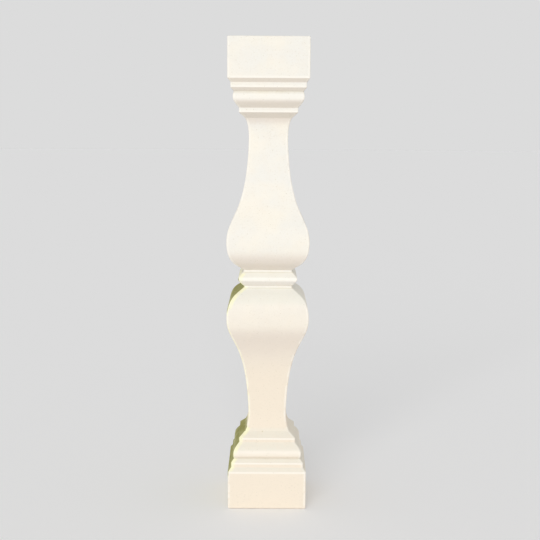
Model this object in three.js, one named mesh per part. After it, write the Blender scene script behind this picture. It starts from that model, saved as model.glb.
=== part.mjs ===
// A square baluster cast in one piece of white stone. Two bellied shafts, one the mirror of the
// other, meet at a ring at mid height. Each runs out through stepped mouldings to a square block.
// Millimetres, +Z up. The origin is the middle of the underside.

import * as THREE from "three";

// Driving dimensions: a width is across two opposite faces, and a height is along Z.
const HEIGHT = 720;
const BLOCK_WIDTH = 121.6;
const BLOCK_HEIGHT = 60;

// The mouldings, from a block in to the shaft.
const SPLAY_HEIGHT = 6; // slopes in from the block to the band
const BAND_WIDTH = 112.6;
const BAND_HEIGHT = 7.2;
const QUIRK_WIDTH = 103.2; // the sharp hollow over the torus
const QUIRK_HEIGHT = 5.8; // slopes in from the band to the quirk
const TORUS_WIDTH = 106.4;
const TORUS_BROW = 7.6; // from the quirk to the torus's fullest line
const TORUS_SWELL = 16; // from the torus's fullest line to the fillet
const FILLET_WIDTH = 88.4;
const FILLET_HEIGHT = 6.6;
const BEVEL_HEIGHT = 8.4; // slopes in from the fillet to the head of the shaft
const SHAFT_HEAD_WIDTH = 70;

// One shaft, from its head to the ring.
const NECK_WIDTH = 59.3;
const NECK_DROP = 31.4; // from the shaft's head to its narrowest line
const BELLY_WIDTH = 125;
const BELLY_RISE = 44.8; // from the ring's seat to the belly's fullest line

// The ring between the two shafts.
const RING_WIDTH = 90;
const RING_HEIGHT = 26.4;
const RIM_HEIGHT = 5.2; // the upright rim, before its edges are rounded
const SEAT_WIDTH = 73.8; // the hollow where the ring meets a belly
const SEAT_HEIGHT = 1.8;

// Every arris of the square plan, and the edges of the two beds, are rounded in the mould.
const ARRIS_RADIUS = 2;

// Bearings of the curves, in degrees from the vertical.
const NECK_TAPER = 1.8; // the shaft widens from its neck at this slope
const SHOULDER_SPLAY = 41; // the belly leaves the ring's seat at this slope
const TORUS_SPLAY = 38; // the torus leaves the fillet at this slope
const NECK_FLARE = 22; // the neck arrives at the shaft's head at this slope

// How full each curve is: a handle's length as a share of the curve's height.
const NECK_PULL = 0.77;
const BELLY_PULL = 0.26;
const BELLY_UNDER_PULL = 0.77;
const SHOULDER_PULL = 0.25;
const FLARE_PULL = 0.72;
const HEAD_PULL = 0.14;
const TORUS_PULL = 0.4;
const BROW_PULL = 0.6;

const CURVE_STEPS = 16; // straight steps along each curve of the profile
const ARRIS_STEPS = 2; // straight steps round each arris

const WHITE_STONE = 0xf3e9db;

const MID_HEIGHT = HEIGHT / 2;

// The levels of the upper half, above mid height.
const ringTop = RING_HEIGHT / 2;
const bellyLevel = ringTop + BELLY_RISE;
const blockFoot = MID_HEIGHT - BLOCK_HEIGHT;
const bandTop = blockFoot - SPLAY_HEIGHT;
const bandFoot = bandTop - BAND_HEIGHT;
const quirkLevel = bandFoot - QUIRK_HEIGHT;
const torusLevel = quirkLevel - TORUS_BROW;
const filletTop = torusLevel - TORUS_SWELL;
const filletFoot = filletTop - FILLET_HEIGHT;
const shaftHead = filletFoot - BEVEL_HEIGHT;
const neckLevel = shaftHead - NECK_DROP;

// A point of the profile: half a width, and a level above mid height.
function at(width, level) {
  return new THREE.Vector2(width / 2, level);
}

// A handle that leaves a point at a slope from the vertical: outwards if the slope is
// positive, upwards if the length is positive.
function handle(point, slope, length) {
  const angle = THREE.MathUtils.degToRad(slope);
  return new THREE.Vector2(
    point.x + Math.sin(angle) * Math.abs(length),
    point.y + Math.cos(angle) * length,
  );
}

// The outline of the upper half, from the rim of the ring up to the top bed.
function halfProfile() {
  const rimCorner = at(RING_WIDTH, RIM_HEIGHT / 2);
  const seatFoot = at(SEAT_WIDTH, ringTop - SEAT_HEIGHT);
  const seat = at(SEAT_WIDTH, ringTop);
  const belly = at(BELLY_WIDTH, bellyLevel);
  const neck = at(NECK_WIDTH, neckLevel);
  const head = at(SHAFT_HEAD_WIDTH, shaftHead);
  const fillet = at(FILLET_WIDTH, filletTop);
  const torus = at(TORUS_WIDTH, torusLevel);
  const quirk = at(QUIRK_WIDTH, quirkLevel);

  const outline = new THREE.Path();
  const lineTo = (point) => outline.lineTo(point.x, point.y);
  const curveTo = (first, second, end) =>
    outline.bezierCurveTo(first.x, first.y, second.x, second.y, end.x, end.y);

  // The rounded rim, its slope and the small upright seat.
  const rimEdge = rimCorner
    .clone()
    .add(seatFoot.clone().sub(rimCorner).setLength(RIM_HEIGHT / 2));
  outline.moveTo(rimCorner.x, 0);
  outline.quadraticCurveTo(rimCorner.x, rimCorner.y, rimEdge.x, rimEdge.y);
  lineTo(seatFoot);
  lineTo(seat);

  // The belly's shoulder, the long sweep up to the neck, and the flare over it.
  const sweepHeight = neckLevel - bellyLevel;
  curveTo(
    handle(seat, SHOULDER_SPLAY, SHOULDER_PULL * BELLY_RISE),
    handle(belly, 0, -BELLY_UNDER_PULL * BELLY_RISE),
    belly,
  );
  curveTo(
    handle(belly, 0, BELLY_PULL * sweepHeight),
    handle(neck, NECK_TAPER, -NECK_PULL * sweepHeight),
    neck,
  );
  curveTo(
    handle(neck, 0, FLARE_PULL * NECK_DROP),
    handle(head, -NECK_FLARE, -HEAD_PULL * NECK_DROP),
    head,
  );

  // The bevel, the fillet, and the torus up to the quirk.
  lineTo(at(FILLET_WIDTH, filletFoot));
  lineTo(fillet);
  curveTo(
    handle(fillet, TORUS_SPLAY, TORUS_PULL * TORUS_SWELL),
    handle(torus, 0, -TORUS_PULL * TORUS_SWELL),
    torus,
  );
  curveTo(handle(torus, 0, BROW_PULL * TORUS_BROW), quirk, quirk);

  // The band, the splay and the block, with a rounded edge at the bed.
  lineTo(at(BAND_WIDTH, bandFoot));
  lineTo(at(BAND_WIDTH, bandTop));
  lineTo(at(BLOCK_WIDTH, blockFoot));
  const bedEdge = at(BLOCK_WIDTH, MID_HEIGHT);
  outline.lineTo(bedEdge.x, bedEdge.y - ARRIS_RADIUS);
  outline.absarc(
    bedEdge.x - ARRIS_RADIUS,
    bedEdge.y - ARRIS_RADIUS,
    ARRIS_RADIUS,
    0,
    Math.PI / 2,
    false,
  );
  return outline.curves.flatMap((curve, index) => {
    const isArris = curve instanceof THREE.EllipseCurve;
    const steps = isArris ? ARRIS_STEPS : CURVE_STEPS;
    const points = curve.getPoints(curve instanceof THREE.LineCurve ? 1 : steps);
    return index === 0 ? points : points.slice(1);
  });
}

// A square with rounded corners, as points at one level, anticlockwise seen from above.
function squareSection(halfWidth, level) {
  const points = [];
  const centre = halfWidth - ARRIS_RADIUS;
  for (let corner = 0; corner < 4; corner++) {
    const middle = (corner + 0.5) * (Math.PI / 2);
    const centreX = Math.sign(Math.cos(middle)) * centre;
    const centreY = Math.sign(Math.sin(middle)) * centre;
    for (let step = 0; step <= ARRIS_STEPS; step++) {
      const angle = (corner + step / ARRIS_STEPS) * (Math.PI / 2);
      const x = centreX + Math.cos(angle) * ARRIS_RADIUS;
      const y = centreY + Math.sin(angle) * ARRIS_RADIUS;
      points.push(new THREE.Vector3(x, y, level));
    }
  }
  return points;
}

// A closed body skinned over sections that rise from the bottom bed to the top one.
function skin(sections) {
  const around = sections[0].length;
  const points = sections.flat();
  const faces = [];
  for (let row = 0; row < sections.length - 1; row++) {
    for (let column = 0; column < around; column++) {
      const next = (column + 1) % around;
      const low = row * around;
      const high = low + around;
      faces.push(low + column, low + next, high + next);
      faces.push(low + column, high + next, high + column);
    }
  }
  const lastRow = (sections.length - 1) * around;
  for (let column = 1; column < around - 1; column++) {
    faces.push(0, column + 1, column);
    faces.push(lastRow, lastRow + column, lastRow + column + 1);
  }
  const geometry = new THREE.BufferGeometry().setFromPoints(points);
  geometry.setIndex(faces);
  geometry.computeVertexNormals();
  return geometry;
}

// The lower half is the upper one turned over, and both share the rim's middle line.
function baluster() {
  const upper = halfProfile();
  const lower = upper
    .slice(1)
    .reverse()
    .map((point) => new THREE.Vector2(point.x, -point.y));
  const sections = [...lower, ...upper].map((point) =>
    squareSection(point.x, MID_HEIGHT + point.y),
  );
  const castStone = new THREE.MeshStandardMaterial({
    color: WHITE_STONE,
    roughness: 0.85,
    metalness: 0,
    flatShading: true,
  });
  const mesh = new THREE.Mesh(skin(sections), castStone);
  mesh.name = "baluster";
  return mesh;
}

const part = new THREE.Group();
part.name = "stone_baluster";
part.add(baluster());

export default part;
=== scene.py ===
# A stone baluster: the cast surface, its weathering, and the studio it stands in.
import math
import random

import bmesh
import bpy
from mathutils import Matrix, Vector, kdtree, noise


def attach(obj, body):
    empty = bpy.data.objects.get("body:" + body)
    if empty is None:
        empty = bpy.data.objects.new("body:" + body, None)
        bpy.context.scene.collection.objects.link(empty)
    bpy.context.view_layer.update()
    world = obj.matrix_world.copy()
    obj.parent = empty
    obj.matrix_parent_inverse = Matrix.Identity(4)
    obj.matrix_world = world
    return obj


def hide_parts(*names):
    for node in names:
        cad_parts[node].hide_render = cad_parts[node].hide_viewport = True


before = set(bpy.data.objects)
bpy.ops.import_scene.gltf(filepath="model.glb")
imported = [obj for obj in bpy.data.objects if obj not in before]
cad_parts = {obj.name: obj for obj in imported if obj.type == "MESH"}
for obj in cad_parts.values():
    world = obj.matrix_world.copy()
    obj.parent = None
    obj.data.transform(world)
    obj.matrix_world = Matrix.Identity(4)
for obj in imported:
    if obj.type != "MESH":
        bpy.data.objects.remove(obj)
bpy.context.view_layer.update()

MM = 0.001  # one millimetre in metres

# The profile, in millimetres, with the same names and sizes as the solid. A width is
# across two opposite faces, and a height is along Z.
HEIGHT = 720
BLOCK_WIDTH = 121.6
BLOCK_HEIGHT = 60

# The mouldings, from a block in to the shaft.
SPLAY_HEIGHT = 6
BAND_WIDTH = 112.6
BAND_HEIGHT = 7.2
QUIRK_WIDTH = 103.2
QUIRK_HEIGHT = 5.8
TORUS_WIDTH = 106.4
TORUS_BROW = 7.6
TORUS_SWELL = 16
FILLET_WIDTH = 88.4
FILLET_HEIGHT = 6.6
BEVEL_HEIGHT = 8.4
SHAFT_HEAD_WIDTH = 70

# One shaft, from its head to the ring.
NECK_WIDTH = 59.3
NECK_DROP = 31.4
BELLY_WIDTH = 125
BELLY_RISE = 44.8

# The ring between the two shafts.
RING_WIDTH = 90
RING_HEIGHT = 26.4
RIM_HEIGHT = 5.2
SEAT_WIDTH = 73.8
SEAT_HEIGHT = 1.8

# Every arris of the square plan, and the edges of the two beds.
ARRIS_RADIUS = 2

# Bearings of the curves, in degrees from the vertical.
NECK_TAPER = 1.8
SHOULDER_SPLAY = 41
TORUS_SPLAY = 38
NECK_FLARE = 22

# A handle's length as a share of its curve's height.
NECK_PULL = 0.77
BELLY_PULL = 0.26
BELLY_UNDER_PULL = 0.77
SHOULDER_PULL = 0.25
FLARE_PULL = 0.72
HEAD_PULL = 0.14
TORUS_PULL = 0.4
BROW_PULL = 0.6

# What the finer surface adds to the solid's form, in millimetres.
EDGE_ROUNDING = 0.7  # the cast edges of the mouldings are never quite sharp
EDGE_TURN = 14  # degrees: a joint in the profile that turns more than this is an edge
EDGE_SHARE = 1 / 2.2  # the most that a rounding takes of a straight step beside it
LEAST_ROUNDING = 0.05  # a smaller one is left out
ROUNDING_SHARES = (0, 0.25, 0.5, 0.75, 1)  # where the points of a rounding lie along it
CURVE_STEPS = 24  # straight steps along each curve of the profile
ROW_SPACING = 3.1  # the longest step of the profile
BED_SPACING = 6  # the same across a bed

# How the profile's hollows, edges and ledges are measured, in millimetres.
HOLLOW_REACH = 7  # how far up and down a hollow is measured against what is beside it
HOLLOW_DEPTH = 3.2  # a hollow this deep gets as much painted shade and dirt as any
PROUD_REACH = 4  # likewise for what stands out
PROUD_RISE = 1.2  # what stands out this far gets as much of the rubbed tone and painted highlight as any
LEDGE_RISE = 0.35  # a slope whose bearing looks up this much counts as a ledge
REACH_BELOW_LEDGE = 30  # how far below a ledge the painted green bounce reaches
REACH_ABOVE_LEDGE = 9  # likewise for the face over it
ARRIS_REACH = 9  # how far into a face its arris is felt

MID_HEIGHT = HEIGHT / 2


def srgb(code):
    """An sRGB hex colour as linear RGBA, by the curve that sRGB is defined with."""
    channels = [int(code[place:place + 2], 16) / 255 for place in (1, 3, 5)]
    linear = [
        value / 12.92 if value <= 0.04045 else ((value + 0.055) / 1.055) ** 2.4
        for value in channels
    ]
    return (*linear, 1.0)


def add(tree, kind, inputs=None, **settings):
    """Adds a node with its settings. An input takes a value, a socket or a node.

    Some inputs go by number: 1 and 2 of a Map Range are the values that it goes from, 3 and
    4 the ones that it goes to, 4 and 5 of a Mix are its vectors, and 6 and 7 its colours.
    """
    made = tree.nodes.new(kind)
    for name, value in settings.items():
        setattr(made, name, value)
    for key, value in (inputs or {}).items():
        if isinstance(value, bpy.types.Node):
            value = next(output for output in value.outputs if output.enabled)
        if isinstance(value, bpy.types.NodeSocket):
            tree.links.new(value, made.inputs[key])
        else:
            made.inputs[key].default_value = value
    return made


def at(width, level):
    """A point of the profile: half a width, and a level above mid height."""
    return Vector((width / 2, level))


def handle(point, slope, length):
    """A curve's handle: outwards if the slope is positive, upwards if the length is."""
    angle = math.radians(slope)
    return point + Vector((math.sin(angle) * abs(length), math.cos(angle) * length))


def curve(*controls):
    """Points along a Bezier curve of any order, without its first point."""
    points = []
    for step in range(1, CURVE_STEPS + 1):
        share = step / CURVE_STEPS
        level = [control.copy() for control in controls]
        while len(level) > 1:
            level = [low.lerp(high, share) for low, high in zip(level, level[1:])]
        points.append(level[0])
    return points


def half_profile():
    """The outline of the upper half, from the ring's rim up to the top bed's edge."""
    ring_top = RING_HEIGHT / 2
    belly_level = ring_top + BELLY_RISE
    block_foot = MID_HEIGHT - BLOCK_HEIGHT
    band_top = block_foot - SPLAY_HEIGHT
    band_foot = band_top - BAND_HEIGHT
    quirk_level = band_foot - QUIRK_HEIGHT
    torus_level = quirk_level - TORUS_BROW
    fillet_top = torus_level - TORUS_SWELL
    fillet_foot = fillet_top - FILLET_HEIGHT
    shaft_head = fillet_foot - BEVEL_HEIGHT
    neck_level = shaft_head - NECK_DROP
    sweep_height = neck_level - belly_level

    rim_middle = at(RING_WIDTH, 0)
    rim_corner = at(RING_WIDTH, RIM_HEIGHT / 2)
    seat_foot = at(SEAT_WIDTH, ring_top - SEAT_HEIGHT)
    rim_edge = rim_corner + (seat_foot - rim_corner).normalized() * RIM_HEIGHT / 2
    seat = at(SEAT_WIDTH, ring_top)
    belly = at(BELLY_WIDTH, belly_level)
    neck = at(NECK_WIDTH, neck_level)
    head = at(SHAFT_HEAD_WIDTH, shaft_head)
    fillet = at(FILLET_WIDTH, fillet_top)
    torus = at(TORUS_WIDTH, torus_level)
    quirk = at(QUIRK_WIDTH, quirk_level)
    bed_edge = at(BLOCK_WIDTH, MID_HEIGHT)
    bed_foot = bed_edge - Vector((0, ARRIS_RADIUS))
    bed_rim = bed_edge - Vector((ARRIS_RADIUS, 0))
    arris_middle = bed_edge + Vector((-1, -1)) * ARRIS_RADIUS * (1 - math.sqrt(0.5))

    points = [rim_middle]
    points += curve(rim_middle, rim_corner, rim_edge)
    points += [seat_foot, seat]
    points += curve(
        seat,
        handle(seat, SHOULDER_SPLAY, SHOULDER_PULL * BELLY_RISE),
        handle(belly, 0, -BELLY_UNDER_PULL * BELLY_RISE),
        belly,
    )
    points += curve(
        belly,
        handle(belly, 0, BELLY_PULL * sweep_height),
        handle(neck, NECK_TAPER, -NECK_PULL * sweep_height),
        neck,
    )
    points += curve(
        neck,
        handle(neck, 0, FLARE_PULL * NECK_DROP),
        handle(head, -NECK_FLARE, -HEAD_PULL * NECK_DROP),
        head,
    )
    points += [at(FILLET_WIDTH, fillet_foot), fillet]
    points += curve(
        fillet,
        handle(fillet, TORUS_SPLAY, TORUS_PULL * TORUS_SWELL),
        handle(torus, 0, -TORUS_PULL * TORUS_SWELL),
        torus,
    )
    points += curve(torus, handle(torus, 0, BROW_PULL * TORUS_BROW), quirk, quirk)
    points += [at(BAND_WIDTH, band_foot), at(BAND_WIDTH, band_top)]
    points += [at(BLOCK_WIDTH, block_foot), bed_foot, arris_middle, bed_rim]
    return points


def round_edges(points):
    """Each joint that turns sharply becomes a short curve."""
    rounded = [points[0]]
    for before, point, after in zip(points, points[1:], points[2:]):
        back = before - point
        ahead = after - point
        turn = math.degrees((-back).angle(ahead, 0))
        room = min(back.length, ahead.length) * EDGE_SHARE
        reach = min(EDGE_ROUNDING, room)
        if turn < EDGE_TURN or reach < LEAST_ROUNDING:
            rounded.append(point)
            continue
        start = point + back.normalized() * reach
        end = point + ahead.normalized() * reach
        for share in ROUNDING_SHARES:
            rounded.append(start.lerp(point, share).lerp(point.lerp(end, share), share))
    return rounded + [points[-1]]


def fill_rows(points, spacing):
    """Adds points to each long straight step of a line."""
    filled = [points[0]]
    for start, end in zip(points, points[1:]):
        steps = max(1, math.ceil((end - start).length / spacing))
        filled += [start.lerp(end, step / steps) for step in range(1, steps + 1)]
    return filled


def whole_profile():
    """The profile from the middle of the top bed down to the middle of the underside."""
    upper = fill_rows(round_edges(half_profile()), ROW_SPACING)
    bed = fill_rows([upper[-1], Vector((0, upper[-1].y))], BED_SPACING)
    half = upper + bed[1:]
    lower = [Vector((point.x, -point.y)) for point in half[1:]]
    return half[::-1] + lower


def hollow_at(points, point):
    """From 0 to 1: how far a point lies inside what stands out just above and below it."""
    near = [other for other in points if abs(other.y - point.y) < HOLLOW_REACH]
    above = max((other.x for other in near if other.y > point.y), default=point.x)
    below = max((other.x for other in near if other.y < point.y), default=point.x)
    return max(0, min(1, (min(above, below) - point.x) / HOLLOW_DEPTH))


def reach_at(points, level, beyond):
    """The profile's half width at a level, or the value given for beyond the beds."""
    for high, low in zip(points, points[1:]):
        if high.y >= level > low.y:
            return high.lerp(low, (high.y - level) / (high.y - low.y)).x
    return beyond


def proud_at(points, point):
    """From 0 to 1: how far a point stands out from the line between its neighbours."""
    above = reach_at(points, point.y + PROUD_REACH, point.x)
    below = reach_at(points, point.y - PROUD_REACH, point.x)
    return max(0, min(1, (point.x - (above + below) / 2) / PROUD_RISE))


# Where the painted green bounce lies by the ledges.
def ledge_reach_at(points, point):
    """From 0 to 1: how near a point lies to a ledge, reaching further below it than above."""
    nearest = 0
    for high, low in zip(points, points[1:]):
        if low.x - high.x > LEDGE_RISE * (low - high).length:
            drop = low.y - point.y
            reach = REACH_BELOW_LEDGE if drop > 0 else REACH_ABOVE_LEDGE
            nearest = max(nearest, 1 - abs(drop) / reach)
    return nearest


# What each row of the casting knows about its place in the profile.
PROFILE_MEASURES = {"hollow": hollow_at, "proud": proud_at, "ledge reach": ledge_reach_at}

# The cast body: square sections with rounded arrises, skinned over the profile. Lengths
# are in millimetres.
FACE_COLUMNS = 31  # mesh columns across each face
ARRIS_STEPS = 5  # mesh columns round each arris
SHARP_TURN = 35  # degrees: only the rims of blowholes and chips turn more than this
UNEVENNESS = 0.25  # always inwards
UNEVEN_SIZE = 75  # from one high place to the next
UNEVEN_DETAIL = 2.0
EVEN_MIDDLE = 20  # the unevenness fades out this near to the middle of a bed
MERGE_DISTANCE = 0.01  # corners nearer to each other than this become one
SEED = 11

# Air bubbles against the mould leave round holes, and knocks leave chips on the arrises.
# The photograph shows the two front arrises whole, so the chips are on the back ones.
# Each is pressed in with a ball of its own. The bite is how deep the ball goes, as a share
# of its radius, the gap is the least distance to any other hole or chip, and the cuts are
# how finely the mesh is cut up round it.
HOLE_RADII = (0.4, 1.3)
HOLE_BITE = 0.6
HOLE_COUNT = 46
HOLE_GAP = 16
HOLE_CUTS = 5
CHIP_RADII = (3, 7)
CHIP_BITE = 0.12
CHIP_COUNT = 8
CHIP_GAP = 45
CHIP_CUTS = 2
BALL_NOISE = 0.12  # how far a ball's radius varies, as a share of it
BALL_GRAIN = 2.5  # over what distance it varies
BED_MARGIN = 4  # nothing is pressed in nearer to a bed than this

# Where the photograph shows dark specks on the front face, as X and Z.
PHOTO_HOLES = ((-28.6, 26), (-22.4, 16.2), (39.4, 37.7), (-11.3, 690.2))

# What the "arris" measure reads on an arris, and what it stays under out on a face.
ON_ARRIS = 0.99
ON_FACE = 0.5


def body_tree():
    """The node tree that turns a line of profile points into the whole casting."""
    tree = bpy.data.node_groups.new("cast_body", "GeometryNodeTree")
    sockets = (
        ("Profile", "NodeSocketGeometry", None),
        ("Arris Radius", "NodeSocketFloat", ARRIS_RADIUS * MM),
        ("Arris Steps", "NodeSocketInt", ARRIS_STEPS),
        ("Face Columns", "NodeSocketInt", FACE_COLUMNS),
        ("Arris Reach", "NodeSocketFloat", ARRIS_REACH * MM),
        ("Unevenness", "NodeSocketFloat", UNEVENNESS * MM),
        ("Uneven Size", "NodeSocketFloat", UNEVEN_SIZE * MM),
        ("Seed", "NodeSocketInt", SEED),
        ("Stone", "NodeSocketMaterial", None),
    )
    for name, kind, value in sockets:
        socket = tree.interface.new_socket(name, in_out="INPUT", socket_type=kind)
        if value is not None:
            socket.default_value = value
    tree.interface.new_socket("Body", in_out="OUTPUT", socket_type="NodeSocketGeometry")
    given = add(tree, "NodeGroupInput").outputs
    steps = given["Arris Steps"]

    # A quarter of the way round is one arris and the face after it.
    quarter_columns = add(tree, "ShaderNodeMath", {0: steps, 1: given["Face Columns"]})
    around = add(tree, "ShaderNodeMath", {0: quarter_columns, 1: 4}, operation="MULTIPLY")
    seam_columns = add(tree, "ShaderNodeMath", {0: around, 1: 1})
    rows = add(tree, "GeometryNodeAttributeDomainSize", {"Geometry": given["Profile"]})
    grid = add(
        tree,
        "GeometryNodeMeshGrid",
        {"Vertices X": rows.outputs["Point Count"], "Vertices Y": seam_columns},
    )
    index = add(tree, "GeometryNodeInputIndex")
    row_share = add(tree, "ShaderNodeMath", {0: index, 1: seam_columns}, operation="DIVIDE")
    row = add(tree, "ShaderNodeMath", {0: row_share}, operation="FLOOR")
    column = add(tree, "ShaderNodeMath", {0: index, 1: seam_columns}, operation="MODULO")
    quarter_share = add(
        tree, "ShaderNodeMath", {0: column, 1: quarter_columns}, operation="DIVIDE"
    )
    quarter = add(tree, "ShaderNodeMath", {0: quarter_share}, operation="FLOOR")
    step = add(tree, "ShaderNodeMath", {0: column, 1: quarter_columns}, operation="MODULO")

    # The profile's half width and level at this row.
    profile_point = add(
        tree,
        "GeometryNodeSampleIndex",
        {
            "Geometry": given["Profile"],
            "Value": add(tree, "GeometryNodeInputPosition"),
            "Index": row,
        },
        data_type="FLOAT_VECTOR",
    )
    profile_parts = add(tree, "ShaderNodeSeparateXYZ", {0: profile_point})
    half_width = profile_parts.outputs["X"]
    level = profile_parts.outputs["Z"]

    # Where this column lies: on the arris, then along the face to the next one.
    arris_share = add(
        tree, "ShaderNodeMath", {0: step, 1: steps}, operation="DIVIDE", use_clamp=True
    )
    past_arris = add(tree, "ShaderNodeMath", {0: step, 1: steps}, operation="SUBTRACT")
    past_arris = add(tree, "ShaderNodeMath", {0: past_arris, 1: 0}, operation="MAXIMUM")
    face_share = add(
        tree, "ShaderNodeMath", {0: past_arris, 1: given["Face Columns"]}, operation="DIVIDE"
    )
    arris_turn = add(tree, "ShaderNodeMath", {0: quarter, 1: arris_share})
    corner_turn = add(tree, "ShaderNodeMath", {0: quarter, 1: 0.5})
    next_turn = add(tree, "ShaderNodeMath", {0: corner_turn, 1: 1})
    upright = add(tree, "ShaderNodeCombineXYZ", {"Z": 1.0})

    # Level vectors at a number of quarter turns from +X: the arris's own bearing, and the
    # corners of a unit square before and after the face.
    ways = []
    for turn, reach in (
        (arris_turn, 1),
        (corner_turn, math.sqrt(2)),
        (next_turn, math.sqrt(2)),
    ):
        angle = add(tree, "ShaderNodeMath", {0: turn, 1: math.pi / 2}, operation="MULTIPLY")
        way = add(
            tree,
            "ShaderNodeVectorRotate",
            {"Vector": (reach, 0, 0), "Axis": upright, "Angle": angle},
            rotation_type="AXIS_ANGLE",
        )
        ways.append(way)
    arris_way, corner, next_corner = ways
    centre_way = add(
        tree,
        "ShaderNodeMix",
        {"Factor": face_share, 4: corner, 5: next_corner},
        data_type="VECTOR",
    )

    # The mould's slow unevenness takes a little off the half width.
    plain_spot = add(
        tree, "ShaderNodeVectorMath", {0: centre_way, "Scale": half_width}, operation="SCALE"
    )
    level_vector = add(tree, "ShaderNodeCombineXYZ", {"Z": level})
    plain_spot = add(tree, "ShaderNodeVectorMath", {0: plain_spot, 1: level_vector})
    fineness = add(
        tree, "ShaderNodeMath", {0: 1.0, 1: given["Uneven Size"]}, operation="DIVIDE"
    )
    unevenness = add(
        tree,
        "ShaderNodeTexNoise",
        {
            "Vector": plain_spot,
            "W": given["Seed"],
            "Scale": fineness,
            "Detail": UNEVEN_DETAIL,
        },
        noise_dimensions="4D",
    )
    loss = add(
        tree, "ShaderNodeMath", {0: unevenness, 1: given["Unevenness"]}, operation="MULTIPLY"
    )
    loss_share = add(
        tree,
        "ShaderNodeMath",
        {0: half_width, 1: EVEN_MIDDLE * MM},
        operation="DIVIDE",
        use_clamp=True,
    )
    loss = add(tree, "ShaderNodeMath", {0: loss, 1: loss_share}, operation="MULTIPLY")
    half_width = add(tree, "ShaderNodeMath", {0: half_width, 1: loss}, operation="SUBTRACT")

    # The corner's place: out to the arris's centre, then out by its radius, then up.
    radius = add(
        tree, "ShaderNodeMath", {0: given["Arris Radius"], 1: half_width}, operation="MINIMUM"
    )
    centre_reach = add(tree, "ShaderNodeMath", {0: half_width, 1: radius}, operation="SUBTRACT")
    centre = add(
        tree, "ShaderNodeVectorMath", {0: centre_way, "Scale": centre_reach}, operation="SCALE"
    )
    spot = add(
        tree, "ShaderNodeVectorMath", {0: arris_way, "Scale": radius}, operation="SCALE"
    )
    spot = add(tree, "ShaderNodeVectorMath", {0: spot, 1: centre})
    spot = add(tree, "ShaderNodeVectorMath", {0: spot, 1: level_vector})
    skin = add(
        tree, "GeometryNodeSetPosition", {"Geometry": grid.outputs["Mesh"], "Position": spot}
    )

    # How near this column is to an arris: 1 on it, 0 beyond its reach.
    other_share = add(tree, "ShaderNodeMath", {0: 1.0, 1: face_share}, operation="SUBTRACT")
    edge_share = add(tree, "ShaderNodeMath", {0: face_share, 1: other_share}, operation="MINIMUM")
    width = add(tree, "ShaderNodeMath", {0: half_width, 1: 2.0}, operation="MULTIPLY")
    inset = add(tree, "ShaderNodeMath", {0: edge_share, 1: width}, operation="MULTIPLY")
    near_arris = add(
        tree, "ShaderNodeMapRange", {"Value": inset, 2: given["Arris Reach"], 3: 1.0, 4: 0.0}
    )
    marked = add(
        tree,
        "GeometryNodeStoreNamedAttribute",
        {"Geometry": skin, "Name": "arris", "Value": near_arris},
        data_type="FLOAT",
        domain="POINT",
    )

    # What the profile's points know is handed on to every corner of their row.
    for name in PROFILE_MEASURES:
        of_profile = add(
            tree,
            "GeometryNodeSampleIndex",
            {
                "Geometry": given["Profile"],
                "Value": add(tree, "GeometryNodeInputNamedAttribute", {"Name": name}),
                "Index": row,
            },
            data_type="FLOAT",
        )
        marked = add(
            tree,
            "GeometryNodeStoreNamedAttribute",
            {"Geometry": marked, "Name": name, "Value": of_profile},
            data_type="FLOAT",
            domain="POINT",
        )

    # The grid's two sides meet in a seam, and each of its ends in one point.
    closed = add(
        tree,
        "GeometryNodeMergeByDistance",
        {"Geometry": marked, "Distance": MERGE_DISTANCE * MM},
    )
    smooth = add(tree, "GeometryNodeSetShadeSmooth", {"Geometry": closed})
    real = add(tree, "GeometryNodeRealizeInstances", {"Geometry": smooth})
    dressed = add(
        tree, "GeometryNodeSetMaterial", {"Geometry": real, "Material": given["Stone"]}
    )
    add(tree, "NodeGroupOutput", {"Body": dressed})
    return tree


def tree_of(places):
    """A search tree over places."""
    tree = kdtree.KDTree(len(places))
    for index, place in enumerate(places):
        tree.insert(place, index)
    tree.balance()
    return tree


def spread_out(chance, corners, count, gap, taken):
    """Picks corners at random that keep their distance from each other."""
    chosen = []
    for corner in chance.sample(corners, len(corners)):
        if all((corner.co - other).length > gap * MM for other in taken):
            chosen.append(corner)
            taken.append(corner.co.copy())
        if len(chosen) == count:
            break
    return chosen


def balls_at(chance, corners, radii, bite_share):
    """For each corner: its place, the way out of the stone, a radius and how deep to press.

    The random number is squared, so most of the balls are small.
    """
    least, most = radii
    balls = []
    for corner in corners:
        radius = (least + (most - least) * chance.random() ** 2) * MM
        balls.append((corner.co.copy(), corner.normal.copy(), radius, radius * bite_share))
    return balls


def press(form, balls, cuts):
    """Refines the mesh where balls touch it and presses them, a little uneven, straight in."""
    corners = list(form.verts)
    tree = tree_of([corner.co for corner in corners])
    edges = {}
    for spot, _, radius, bite in balls:
        contact = math.sqrt(bite * (2 * radius - bite))
        for _, index, _ in tree.find_range(spot, contact):
            for face in corners[index].link_faces:
                edges.update(dict.fromkeys(face.edges))
    split = bmesh.ops.subdivide_edges(form, edges=list(edges), cuts=cuts, use_grid_fill=True)
    tree = tree_of([ball[0] for ball in balls])
    for corner in split["geom"]:
        if not isinstance(corner, bmesh.types.BMVert):
            continue
        spot, outwards, radius, bite = balls[tree.find(corner.co)[1]]
        away = corner.co - spot - outwards * (radius - bite)
        height = away.dot(outwards)
        aside = (away - outwards * height).length
        ball = radius * (1 + BALL_NOISE * noise.noise(corner.co / (BALL_GRAIN * MM)))
        if aside < ball:
            floor_height = -math.sqrt(ball * ball - aside * aside)
            corner.co += outwards * min(0, floor_height - height)


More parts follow.
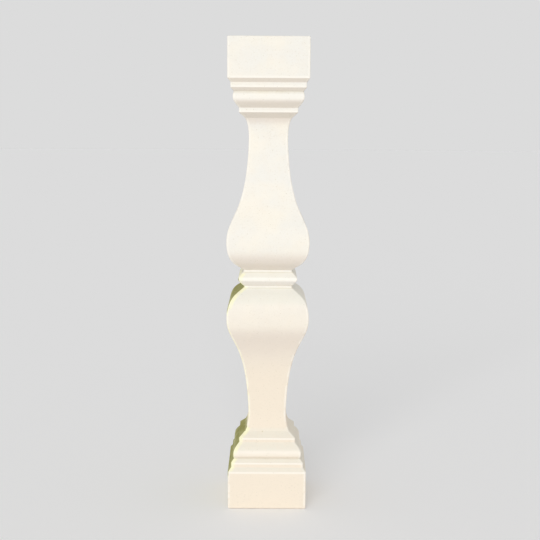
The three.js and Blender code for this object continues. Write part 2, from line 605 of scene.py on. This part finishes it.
def wear(mesh):
    """Cuts the blowholes of the casting and the small chips on its back arrises."""
    form = bmesh.new()
    form.from_mesh(mesh)
    corners = list(form.verts)
    arris = form.verts.layers.float["arris"]
    foot = BED_MARGIN * MM
    top = (HEIGHT - BED_MARGIN) * MM
    sides = [corner for corner in corners if foot < corner.co.z < top]
    arrises = [corner for corner in sides if corner[arris] > ON_ARRIS and corner.co.y > 0]
    faces = [corner for corner in sides if corner[arris] < ON_FACE]
    chance = random.Random(SEED)
    front = -BLOCK_WIDTH / 2
    tree = tree_of([corner.co for corner in corners])
    holes = [corners[tree.find(Vector((x, front, z)) * MM)[1]] for x, z in PHOTO_HOLES]
    taken = [corner.co.copy() for corner in holes]
    chips = spread_out(chance, arrises, CHIP_COUNT, CHIP_GAP, taken)
    holes += spread_out(chance, faces, HOLE_COUNT, HOLE_GAP, taken)
    chips = balls_at(chance, chips, CHIP_RADII, CHIP_BITE)
    holes = balls_at(chance, holes, HOLE_RADII, HOLE_BITE)
    press(form, chips, CHIP_CUTS)
    press(form, holes, HOLE_CUTS)
    form.to_mesh(mesh)
    form.free()


def cast_body(stone):
    """Runs the tree on the profile and keeps the result as a plain mesh."""
    points = whole_profile()
    line = bpy.data.meshes.new("profile_line")
    rows = [(point.x * MM, 0, (MID_HEIGHT + point.y) * MM) for point in points]
    line.from_pydata(rows, [(row, row + 1) for row in range(len(rows) - 1)], [])
    for name, measure in PROFILE_MEASURES.items():
        attribute = line.attributes.new(name, "FLOAT", "POINT")
        attribute.data.foreach_set("value", [measure(points, point) for point in points])
    maker = bpy.data.objects.new("profile_line", line)
    bpy.context.scene.collection.objects.link(maker)
    tree = body_tree()
    modifier = maker.modifiers.new("cast_body", "NODES")
    modifier.node_group = tree
    for item in tree.interface.items_tree:  # the modifier knows an input by its identifier
        if item.name == "Stone":
            modifier[item.identifier] = stone
    evaluated = maker.evaluated_get(bpy.context.evaluated_depsgraph_get())
    mesh = bpy.data.meshes.new_from_object(evaluated)
    maker.modifiers.remove(modifier)
    bpy.data.objects.remove(maker)
    wear(mesh)
    mesh.materials.pop(index=0)  # the grid's empty slot
    mesh.set_sharp_from_angle(angle=math.radians(SHARP_TURN))
    mesh.name = "baluster_cast"
    body = bpy.data.objects.new("baluster_cast", mesh)
    bpy.context.scene.collection.objects.link(body)
    return body


# Colours of the stone, of what has settled on it, and of painted light and shade, as sRGB.
CLEAN_STONE = "#F5EFE2"
COOL_STONE = "#EFECE4"  # where the marble flour lies closest to the face
FOOT_SHADE_AND_MOTTLE_STONE = "#EFE3D1"  # the lower half painted warmer and darker as shade, and the tone of the random mottling
UNDERSIDE_SHADE_STONE = "#E4D8CC"  # undersides painted darker and warmer: painted shade
RUBBED_AND_HIGHLIT_STONE = "#FBF6EC"  # lighter edges: partly rubbed clean by wear, partly painted highlight
RING_LIGHT_STONE = "#EFEEEA"  # the ring, painted lighter and cooler: painted light
# Greyer tone of the up-facing ledges: partly dust, partly painted shade.
LEDGE_SHADE_AND_DUST = "#E9E8DC"
# Dark tone for hollows, pinholes and down-facing undersides: partly dirt, partly painted shade.
HOLLOW_SHADE_AND_DIRT = "#CAC1A8"
PALE_GREEN_BOUNCE = "#FBF8CE"  # painted pale yellow-green bounce light, where the olive tint is thin
# Olive: painted green bounce light in the shade of the left side.
OLIVE_GREEN_BOUNCE = "#8B893D"
FLECK = "#D9CFBE"  # grains of sand in the face

# Heights of the painted light and shade, and of the dust on the stone, in metres.
BASE_BLOCK_TOP = 0.06  # no bounce glint is painted on the arrises below here
LOWER_SHADE_FULL = 0.24  # up to here the painted shade of the lower half is whole
LOWER_SHADE_NONE = 0.46  # and here it has faded out
RING_LIGHT_FOOT = 0.335  # the ring and the shoulder under it are painted lighter from here
RING_LIGHT_TOP = 0.374  # up to here
RING_MIDDLE = 0.36  # above this the painted olive bounce is thin
BOUNCE_TOP = 0.374  # no olive bounce is painted above the ring
BOUNCE_FADE = 0.012
HEAD_FOOT = 0.57  # the mouldings above this get painted shade on their undersides

# Patterns of the stone: the size in millimetres, the detail, the roughness, and how much
# finer the pattern is along X, Y and Z.
STONE_PATTERNS = {
    "cloud": (70, 3.0, 0.5, (1, 1, 1)),
    "mottle": (13, 4.0, 0.6, (1, 1, 1)),
    "fleck": (2.4, 2.0, 0.6, (1, 1, 1)),  # sand grains are nearer 0.5: coarser to show
    "grain": (1.1, 2.0, 0.7, (1, 1, 1)),  # likewise
    # long upwards, for streaks in the painted olive bounce
    "patch": (10, 5.0, 0.65, (1, 1, 1)),
    "streak": (16, 4.0, 0.6, (1, 1, 0.14)),  # long upwards, as water runs down
}
PINHOLE_SPACING = 7  # millimetres

# A pattern makes an edge ragged: the pattern, how much of it, and what it is added to.
RAGGED_READS = {
    "ragged height": ("cloud", 0.12, "height"),
    # A ragged edge for the painted green bounce near the ledges.
    "ragged ledge reach": ("streak", 1.1, "ledge reach"),
}

# What shows on the stone, from the stone outwards. A layer is its colour and its shares,
# which multiply. A share names what it reads, the two values between which it changes,
# and how much of the colour it lets through before and after them. Across and height are
# in metres, and facing runs from -1 to 1. A layer with no colour is only read by later
# ones.
STONE_LAYERS = {
    "cool patch": (COOL_STONE, [("cloud", 0.35, 0.65, 1, 0)]),
    # The lower half painted warmer and darker: painted shade, as less light reaches the foot.
    "painted lower shade": (FOOT_SHADE_AND_MOTTLE_STONE, [("ragged height", LOWER_SHADE_FULL, LOWER_SHADE_NONE, 1, 0)]),
    # Faces that look down are painted darker and warmer: painted shade.
    "painted underside shade": (UNDERSIDE_SHADE_STONE, [("facing up", -0.12, -0.45, 0, 0.68)]),
    # The ring painted lighter and cooler: painted light, which takes back part of the painted
    # underside and lower-half shade there.
    "painted ring light": (
        RING_LIGHT_STONE,
        [
            ("height", RING_LIGHT_FOOT - 0.01, RING_LIGHT_FOOT + 0.01, 0, 0.5),
            ("height", RING_LIGHT_TOP + 0.002, RING_LIGHT_TOP - 0.002, 0, 1),
        ],
    ),
    "mottling": (FOOT_SHADE_AND_MOTTLE_STONE, [("mottle", 0.42, 0.75, 0, 0.16)]),
    "fleck": (FLECK, [("fleck", 0.58, 0.7, 0, 0.25)]),
    # Arrises and proud mouldings painted lighter: partly wear, partly painted highlight.
    "worn and highlit arris": (
        RUBBED_AND_HIGHLIT_STONE,
        [
            ("arris", 0.7, 1, 0, 0.6),
            ("mottle", 0.35, 0.6, 0, 1),
            ("facing up", 0.97, 0.9, 0, 1),  # a bed is flat right across, with no arris on it
            ("facing up", -0.97, -0.9, 0, 1),
        ],
    ),
    "rubbed and highlit moulding": (
        RUBBED_AND_HIGHLIT_STONE,
        [
            ("proud", 0, 0.8, 0, 0.7),
            ("facing up", 0.6, 0.25, 0, 1),
            ("facing up", -0.6, -0.25, 0, 1),
        ],
    ),
    # Below the ring: where the painted olive bounce is drawn.
    "under bounce top": (None, [("height", BOUNCE_TOP - BOUNCE_FADE, BOUNCE_TOP, 1, 0)]),
    "ledge": (None, [("facing up", 0.22, 0.55, 0, 1)]),
    # Up-facing ledges greyer, most below the ring: partly dust, partly painted shade.
    "ledge shade and dust": (
        LEDGE_SHADE_AND_DUST,
        [
            ("ledge", 0, 1, 0, 0.5),
            ("height", RING_MIDDLE, RING_MIDDLE + 0.1, 1, 0.1),
            ("patch", 0.3, 0.6, 0.7, 1),
        ],
    ),
    # Down-facing mouldings of the head painted darker: painted shade.
    "painted shade under the head": (
        HOLLOW_SHADE_AND_DIRT,
        [("facing up", -0.4, -0.62, 0, 0.15), ("height", HEAD_FOOT, HEAD_FOOT + 0.02, 0, 1)],
    ),
    # Hollows darker: partly dirt, partly painted shade.
    "shade and dirt in the quirks": (
        HOLLOW_SHADE_AND_DIRT,
        [
            ("hollow", 0.05, 0.35, 0, 0.35),
            ("hollow", 0.9, 0.6, 0, 1),
            ("mottle", 0.3, 0.65, 0.6, 1),
        ],
    ),
    # The left side's olive tint, from here to the wash: painted green bounce light, and shade on
    # that side.
    "olive bounce mask": (
        None,
        [
            ("facing across", -0.35, -0.65, 0, 1),
            ("ragged ledge reach", 1, 1.45, 0, 1),
            ("height", RING_MIDDLE - 0.002, RING_MIDDLE + 0.004, 1, 0.2),
            ("under bounce top", 0, 1, 0, 1),
            ("patch", 0.3, 0.5, 0.8, 1),
        ],
    ),
    "pale bounce tint": (PALE_GREEN_BOUNCE, [("olive bounce mask", 0, 0.3, 0, 0.9)]),
    "olive bounce shade": (
        OLIVE_GREEN_BOUNCE,
        [("olive bounce mask", 0.12, 0.75, 0, 0.95), ("streak", 0.35, 0.62, 0.85, 1)],
    ),
    "olive bounce streaks": (
        OLIVE_GREEN_BOUNCE,
        [
            ("facing across", -0.75, -0.98, 0, 1),
            ("under bounce top", 0, 1, 0, 1),
            ("streak", 0.48, 0.7, 0, 0.3),
        ],
    ),
    "pale bounce wash": (
        PALE_GREEN_BOUNCE,
        [
            ("facing across", -0.75, -0.98, 0, 1),
            ("under bounce top", 0, 1, 0, 1),
            ("patch", 0.35, 0.7, 0.1, 0.45),
        ],
    ),
    # The front-left arris and the faces by it painted pale yellow-green: painted glint of green
    # bounce light.
    "near arris": (
        None,
        [
            ("across", -0.012, -0.03, 0, 1),  # the left part of the front and the back
            ("facing across", -0.8, -0.3, 0, 1),
            ("height", BASE_BLOCK_TOP - 0.004, BASE_BLOCK_TOP + 0.006, 0, 1),
            ("under bounce top", 0, 1, 0, 1),
        ],
    ),
    "bounce glint on the arris": (
        PALE_GREEN_BOUNCE,
        [("near arris", 0, 1, 0, 1), ("arris", 0.85, 1, 0, 1), ("patch", 0.3, 0.6, 0.1, 0.5)],
    ),
    "bounce glow by the ledges": (
        PALE_GREEN_BOUNCE,
        [
            ("near arris", 0, 1, 0, 1),
            ("arris", 0.2, 0.85, 0, 1),
            ("ledge reach", 0.7, 1, 0, 1),
            ("patch", 0.3, 0.6, 0.4, 0.85),
        ],
    ),
    "pinhole": (HOLLOW_SHADE_AND_DIRT, [("pinhole distance", 0.11, 0.05, 0, 0.5)]),
}

# What shapes the face finely: the pattern, its strength and its depth in millimetres.
STONE_RELIEF = (
    ("grain", 0.35, 0.12),
    ("mottle", 0.4, 0.5),
    ("pinhole distance", 0.5, 0.4),
)

# How the face takes the light: its roughness, given as a layer's share is, the refractive
# index of calcite and cement, and a sheen that the pores weaken.
STONE_ROUGHNESS = ("mottle", 0.3, 0.7, 0.82, 0.92)
STONE_IOR = 1.5
STONE_SHEEN = 0.35


def per(size):
    """How many features of that size in millimetres fit in a metre."""
    return 1 / (size * MM)


def stone_reads(tree, normal):
    """What the layers read: where a point is, how it faces, its measures and patterns."""
    place = add(tree, "ShaderNodeTexCoord").outputs["Object"]
    where = add(tree, "ShaderNodeSeparateXYZ", {0: place}).outputs
    facing = add(tree, "ShaderNodeSeparateXYZ", {0: normal}).outputs
    pinhole = add(
        tree,
        "ShaderNodeTexVoronoi",
        {"Vector": place, "Scale": per(PINHOLE_SPACING), "Randomness": 1.0},
    )
    read = {
        "across": where["X"],
        "height": where["Z"],
        "facing across": facing["X"],
        "facing up": facing["Z"],
        "pinhole distance": pinhole.outputs["Distance"],
    }
    for name in ("arris", *PROFILE_MEASURES):
        read[name] = add(tree, "ShaderNodeAttribute", attribute_name=name).outputs["Fac"]
    for name, (size, detail, roughness, stretch) in STONE_PATTERNS.items():
        spot = add(tree, "ShaderNodeMapping", {"Vector": place, "Scale": stretch})
        noise_node = add(
            tree,
            "ShaderNodeTexNoise",
            {"Vector": spot, "Scale": per(size), "Detail": detail, "Roughness": roughness},
        )
        read[name] = noise_node.outputs["Fac"]
    for name, (pattern, amount, base) in RAGGED_READS.items():
        read[name] = add(
            tree,
            "ShaderNodeMath",
            {0: read[pattern], 1: amount, 2: read[base]},
            operation="MULTIPLY_ADD",
        )
    return read


def cast_stone():
    """Fair-faced white cast stone: white cement and marble flour, straight from the mould.

    It is dead matt and nearly even in colour. What the eye gets is slow clouding, fine
    flecks of sand and pinholes, lighter edges and arrises (wear and painted highlight), painted
    shade on undersides and in hollows with some dirt, a lower half painted warmer and darker as
    shade, and on the left side painted olive bounce light and shade, pale yellow where thin.
    """
    material = bpy.data.materials.new("white_cast_stone")
    material.use_nodes = True
    tree = material.node_tree
    tree.nodes.clear()
    shape = add(tree, "ShaderNodeNewGeometry").outputs["Normal"]
    read = stone_reads(tree, shape)

    colour = srgb(CLEAN_STONE)
    for name, (code, shares) in STONE_LAYERS.items():
        cover = 1.0
        for source, start, end, low, high in shares:
            share = add(
                tree,
                "ShaderNodeMapRange",
                {"Value": read[source], 1: start, 2: end, 3: low, 4: high},
                interpolation_type="SMOOTHSTEP",
            )
            cover = add(tree, "ShaderNodeMath", {0: cover, 1: share}, operation="MULTIPLY")
        if code:
            colour = add(
                tree, "ShaderNodeMix", {0: cover, 6: colour, 7: srgb(code)}, data_type="RGBA"
            )
        else:
            read[name] = cover

    for name, strength, depth in STONE_RELIEF:
        shape = add(
            tree,
            "ShaderNodeBump",
            {
                "Height": read[name],
                "Strength": strength,
                "Distance": depth * MM,
                "Normal": shape,
            },
        )
    source, start, end, low, high = STONE_ROUGHNESS
    roughness = add(
        tree,
        "ShaderNodeMapRange",
        {"Value": read[source], 1: start, 2: end, 3: low, 4: high},
    )
    shader = add(
        tree,
        "ShaderNodeBsdfPrincipled",
        {
            "Base Color": colour,
            "Roughness": roughness,
            "IOR": STONE_IOR,
            "Specular IOR Level": STONE_SHEEN,
            "Normal": shape,
        },
    )
    add(tree, "ShaderNodeOutputMaterial", {"Surface": shader})
    return material


# The camera, fitted to the outline in the photograph: metres, degrees, and millimetres for
# the lens and the sensor.
CAMERA_DISTANCE = 1.44
CAMERA_HEIGHT = 0.582
CAMERA_PITCH = 8.45  # downwards
CAMERA_YAW = 0.09  # to the right
CAMERA_ROLL = 0.31
CAMERA_LENS = 61.95
SENSOR_WIDTH = 36
NEAR_CLIP = 0.01

# The floor and the light of the studio.
FLOOR_RADIUS = 30  # metres, so that its rim lies where the eye expects the horizon
FLOOR_SIDES = 96
FLOOR_TONE = 0.945
SKY_HORIZON = 0.86  # how bright the sky is at its rim
SKY_TOP = 0.5  # and straight above
KEY_ELEVATION = 20  # degrees above the horizon
KEY_AZIMUTH = -14  # degrees, where less than 0 is to the left of the camera
KEY_LEVEL = 1.26
KEY_SPREAD = 40  # degrees across, for soft shadows
WHITE = (1, 1, 1, 1)


def camera():
    """The photograph's viewing angle."""
    data = bpy.data.cameras.new("camera")
    data.sensor_width = SENSOR_WIDTH
    data.lens = CAMERA_LENS
    data.clip_start = NEAR_CLIP
    holder = bpy.data.objects.new("camera", data)
    holder.location = (0, -CAMERA_DISTANCE, CAMERA_HEIGHT)
    holder.rotation_euler = (
        math.radians(90 - CAMERA_PITCH),
        math.radians(-CAMERA_ROLL),
        math.radians(-CAMERA_YAW),
    )
    bpy.context.scene.collection.objects.link(holder)
    bpy.context.scene.camera = holder


def floor():
    """A plain pale floor that runs to where the eye takes it for the background."""
    mesh = bpy.data.meshes.new("floor")
    bearings = [2 * math.pi * side / FLOOR_SIDES for side in range(FLOOR_SIDES)]
    rim = [
        (FLOOR_RADIUS * math.cos(bearing), FLOOR_RADIUS * math.sin(bearing), 0)
        for bearing in bearings
    ]
    mesh.from_pydata(rim, [], [list(range(FLOOR_SIDES))])
    made = bpy.data.objects.new("floor", mesh)
    material = bpy.data.materials.new("floor_paint")
    material.use_nodes = True
    tree = material.node_tree
    tree.nodes.clear()
    tone = (FLOOR_TONE, FLOOR_TONE, FLOOR_TONE, 1)
    shader = add(tree, "ShaderNodeBsdfDiffuse", {"Color": tone})
    add(tree, "ShaderNodeOutputMaterial", {"Surface": shader})
    mesh.materials.append(material)
    bpy.context.scene.collection.objects.link(made)
    return made


def light():
    """Soft light from the front, a little from the left, under a plain sky."""
    scene = bpy.context.scene
    scene.view_settings.view_transform = "Standard"
    # What the camera sees behind the floor is as bright as a level floor far from the
    # object. A third of the sky's light on it comes with the level of the horizon and two
    # thirds with that of the top, as this sky goes with the sine of the height.
    key_share = KEY_LEVEL * math.sin(math.radians(KEY_ELEVATION)) / math.pi
    backdrop = FLOOR_TONE * (SKY_HORIZON / 3 + SKY_TOP * 2 / 3 + key_share)
    world = bpy.data.worlds.new("studio")
    scene.world = world
    world.use_nodes = True
    tree = world.node_tree
    tree.nodes.clear()
    way = add(tree, "ShaderNodeTexCoord").outputs["Generated"]
    rise = add(tree, "ShaderNodeSeparateXYZ", {0: way}).outputs["Z"]
    level = add(tree, "ShaderNodeMapRange", {"Value": rise, 3: SKY_HORIZON, 4: SKY_TOP})
    sky = add(tree, "ShaderNodeBackground", {"Color": WHITE, "Strength": level})
    seen = add(tree, "ShaderNodeBackground", {"Color": WHITE, "Strength": backdrop})
    path = add(tree, "ShaderNodeLightPath")
    mix = add(tree, "ShaderNodeMixShader", {0: path.outputs["Is Camera Ray"], 1: sky, 2: seen})
    add(tree, "ShaderNodeOutputWorld", {"Surface": mix})

    data = bpy.data.lights.new("key", "SUN")
    data.energy = KEY_LEVEL
    data.angle = math.radians(KEY_SPREAD)
    key = bpy.data.objects.new("key", data)
    key.rotation_euler = (math.radians(90 - KEY_ELEVATION), 0, math.radians(KEY_AZIMUTH))
    scene.collection.objects.link(key)


camera()
light()
floor()
body = cast_body(cast_stone())
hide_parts("baluster")
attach(body, "root")
